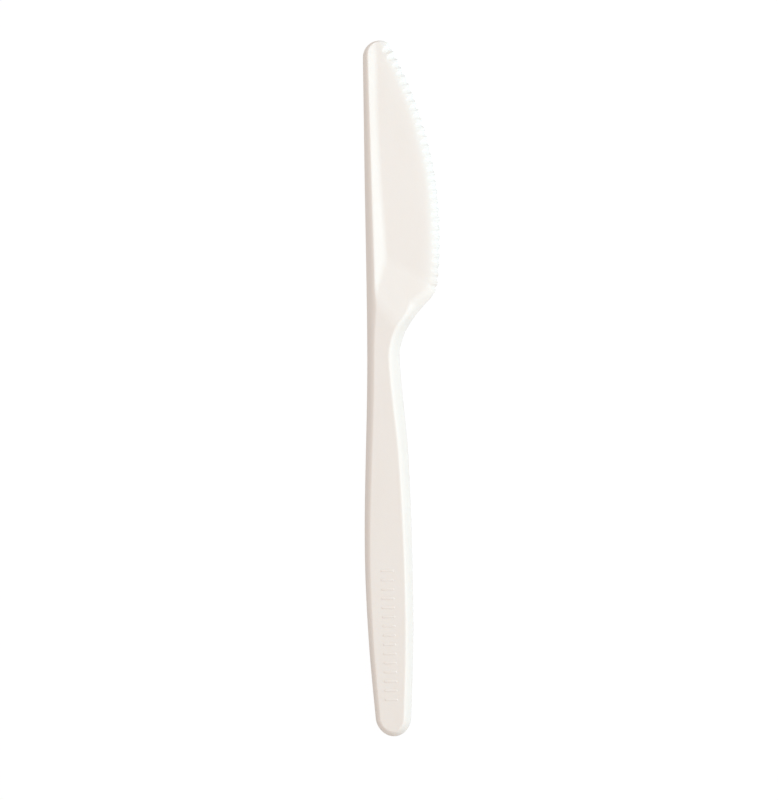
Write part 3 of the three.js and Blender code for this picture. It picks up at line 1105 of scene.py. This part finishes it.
def set_camera(stage):
    """The camera above the knife, leaning towards its cutting edge."""
    camera = bpy.data.cameras.new("camera")
    camera.lens = stage.lens
    camera.sensor_fit = "AUTO"
    made = bpy.data.objects.new("camera", camera)
    bpy.context.scene.collection.objects.link(made)
    low, high = CAD_BOX
    distance = stage.view_height * camera.lens / camera.sensor_width
    back = Vector((math.sin(stage.tilt), 0, math.cos(stage.tilt)))
    aim = (low + high) / 2 + Vector((stage.aim_across, stage.aim_along, 0))
    made.location = aim + back * distance
    made.rotation_euler = (0, stage.tilt, 0)
    bpy.context.scene.camera = made


class MouldKnife(bpy.types.Operator):
    """Mould the knife: its front, its side walls and the channel in its back"""

    bl_idname = "table_knife.mould"
    bl_label = "Mould the knife"

    def execute(self, context):
        settings = context.scene.table_knife
        form = KnifeForm(settings)
        piece = put_in_scene(PIECE, outer_mesh(form, settings.steps))
        piece.data.materials.append(plastic_material(settings.plastic))
        channel = put_in_scene("channel", channel_mesh(form, settings.steps))
        hollow = piece.modifiers.new("hollow", "BOOLEAN")
        hollow.operation = "DIFFERENCE"
        hollow.solver = "MANIFOLD"
        hollow.object = channel
        settle(piece, channel)
        return {"FINISHED"}


class CutTeeth(bpy.types.Operator):
    """Cut the flutes of the serrated edge"""

    bl_idname = "table_knife.cut_teeth"
    bl_label = "Cut the teeth"

    def execute(self, context):
        settings = context.scene.table_knife
        teeth = settings.teeth
        piece = knife_piece()
        line = line_object("edge_line", *edge_line(KnifeForm(settings), teeth))
        values = {
            "Edge line": line,
            "Pitch": teeth.pitch,
            "Depth": settings.heights.edge + teeth.notch,
            "Reach": teeth.tool_reach * teeth.bevel,
            "Sides": teeth.sides,
            "Plastic": piece.data.materials[0],
        }
        run_tree(piece, teeth_tree(), values, line)
        return {"FINISHED"}


class RaiseGripBars(bpy.types.Operator):
    """Raise the low bars on the handle's face"""

    bl_idname = "table_knife.raise_grip_bars"
    bl_label = "Raise the grip bars"

    def execute(self, context):
        settings = context.scene.table_knife
        bars = settings.bars
        piece = knife_piece()
        line = line_object("grip_line", grip_line(KnifeForm(settings), bars))
        values = {
            "Grip line": line,
            "Pitch": bars.pitch,
            "Length": bars.length,
            "Width": bars.width,
            "Relief": bars.relief,
            "Plastic": piece.data.materials[0],
        }
        run_tree(piece, grip_bar_tree(), values, line)
        return {"FINISHED"}


class PlaceKnife(bpy.types.Operator):
    """Smooth the knife, mark its thin edge and put it in its place in the frame"""

    bl_idname = "table_knife.place"
    bl_label = "Place the knife"

    def execute(self, context):
        settings = context.scene.table_knife
        form = KnifeForm(settings)
        piece = knife_piece()
        mesh = piece.data
        mesh.shade_smooth()
        mesh.set_sharp_from_angle(angle=settings.steps.crease)
        corners = np.empty(len(mesh.vertices) * 3)
        mesh.vertices.foreach_get("co", corners)
        corners = corners.reshape(-1, 3)
        across, along, _ = corners.T
        inward = form.edge_side(along) - across
        past_heel = smooth_step(along, form.heel_at - settings.blade.heel_corner, form.belly_at)
        thin_to = settings.plastic.thin_reach * settings.teeth.bevel
        thin = (1 - smooth_step(inward, 0, thin_to)) * past_heel
        mesh.attributes.new("thin", "FLOAT", "POINT").data.foreach_set("value", thin)
        move_to_frame(mesh, corners)
        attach(piece, "root")
        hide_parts(NODE)
        return {"FINISHED"}


class SetStage(bpy.types.Operator):
    """Set the white table, the soft lights and the camera"""

    bl_idname = "table_knife.set_stage"
    bl_label = "Set the stage"

    def execute(self, context):
        scene = context.scene
        stage = scene.table_knife.stage
        half = stage.table_size / 2
        below = CAD_BOX[0].z - TABLE_GAP
        corners = ((-half, -half), (half, -half), (half, half), (-half, half))
        mesh = bpy.data.meshes.new("table")
        mesh.from_pydata([(*corner, below) for corner in corners], [], [(0, 1, 2, 3)])
        mesh.materials.append(table_material(stage))
        put_in_scene("table", mesh)
        scene.world = white_world(stage)
        for name in ("key", "top"):
            soft_light(name, stage)
        set_camera(stage)
        scene.view_settings.view_transform = "Standard"
        return {"FINISHED"}


class KnifePanel(bpy.types.Panel):
    """The knife's settings and the steps that make it"""

    bl_idname = "VIEW3D_PT_table_knife"
    bl_label = "Table Knife"
    bl_space_type = "VIEW_3D"
    bl_region_type = "UI"
    bl_category = "Table Knife"

    def draw(self, context):
        settings = context.scene.table_knife
        for operator in OPERATORS:
            self.layout.operator(operator.bl_idname)
        for name in TableKnife.__annotations__:
            group = getattr(settings, name)
            box = self.layout.box()
            box.label(text=type(group).__doc__)
            for setting in type(group).__annotations__:
                box.prop(group, setting)


GROUPS = (
    HandlePlan,
    BladePlan,
    FrontHeights,
    ChannelSizes,
    ToothSizes,
    GripBarSizes,
    SurfaceSteps,
    PlasticFinish,
    StageSettings,
    TableKnife,
)
OPERATORS = (MouldKnife, CutTeeth, RaiseGripBars, PlaceKnife, SetStage)


def register():
    """Registers the classes, and gives each scene the knife's settings."""
    for kind in (*GROUPS, *OPERATORS, KnifePanel):
        bpy.utils.register_class(kind)
    bpy.types.Scene.table_knife = bpy.props.PointerProperty(type=TableKnife)


def unregister():
    """Takes the settings and the classes away again."""
    del bpy.types.Scene.table_knife
    for kind in reversed((*GROUPS, *OPERATORS, KnifePanel)):
        bpy.utils.unregister_class(kind)


def main():
    """Makes the knife and its stage."""
    register()
    bpy.ops.table_knife.mould()
    bpy.ops.table_knife.cut_teeth()
    bpy.ops.table_knife.raise_grip_bars()
    bpy.ops.table_knife.place()
    bpy.ops.table_knife.set_stage()


if __name__ == "__main__":
    main()
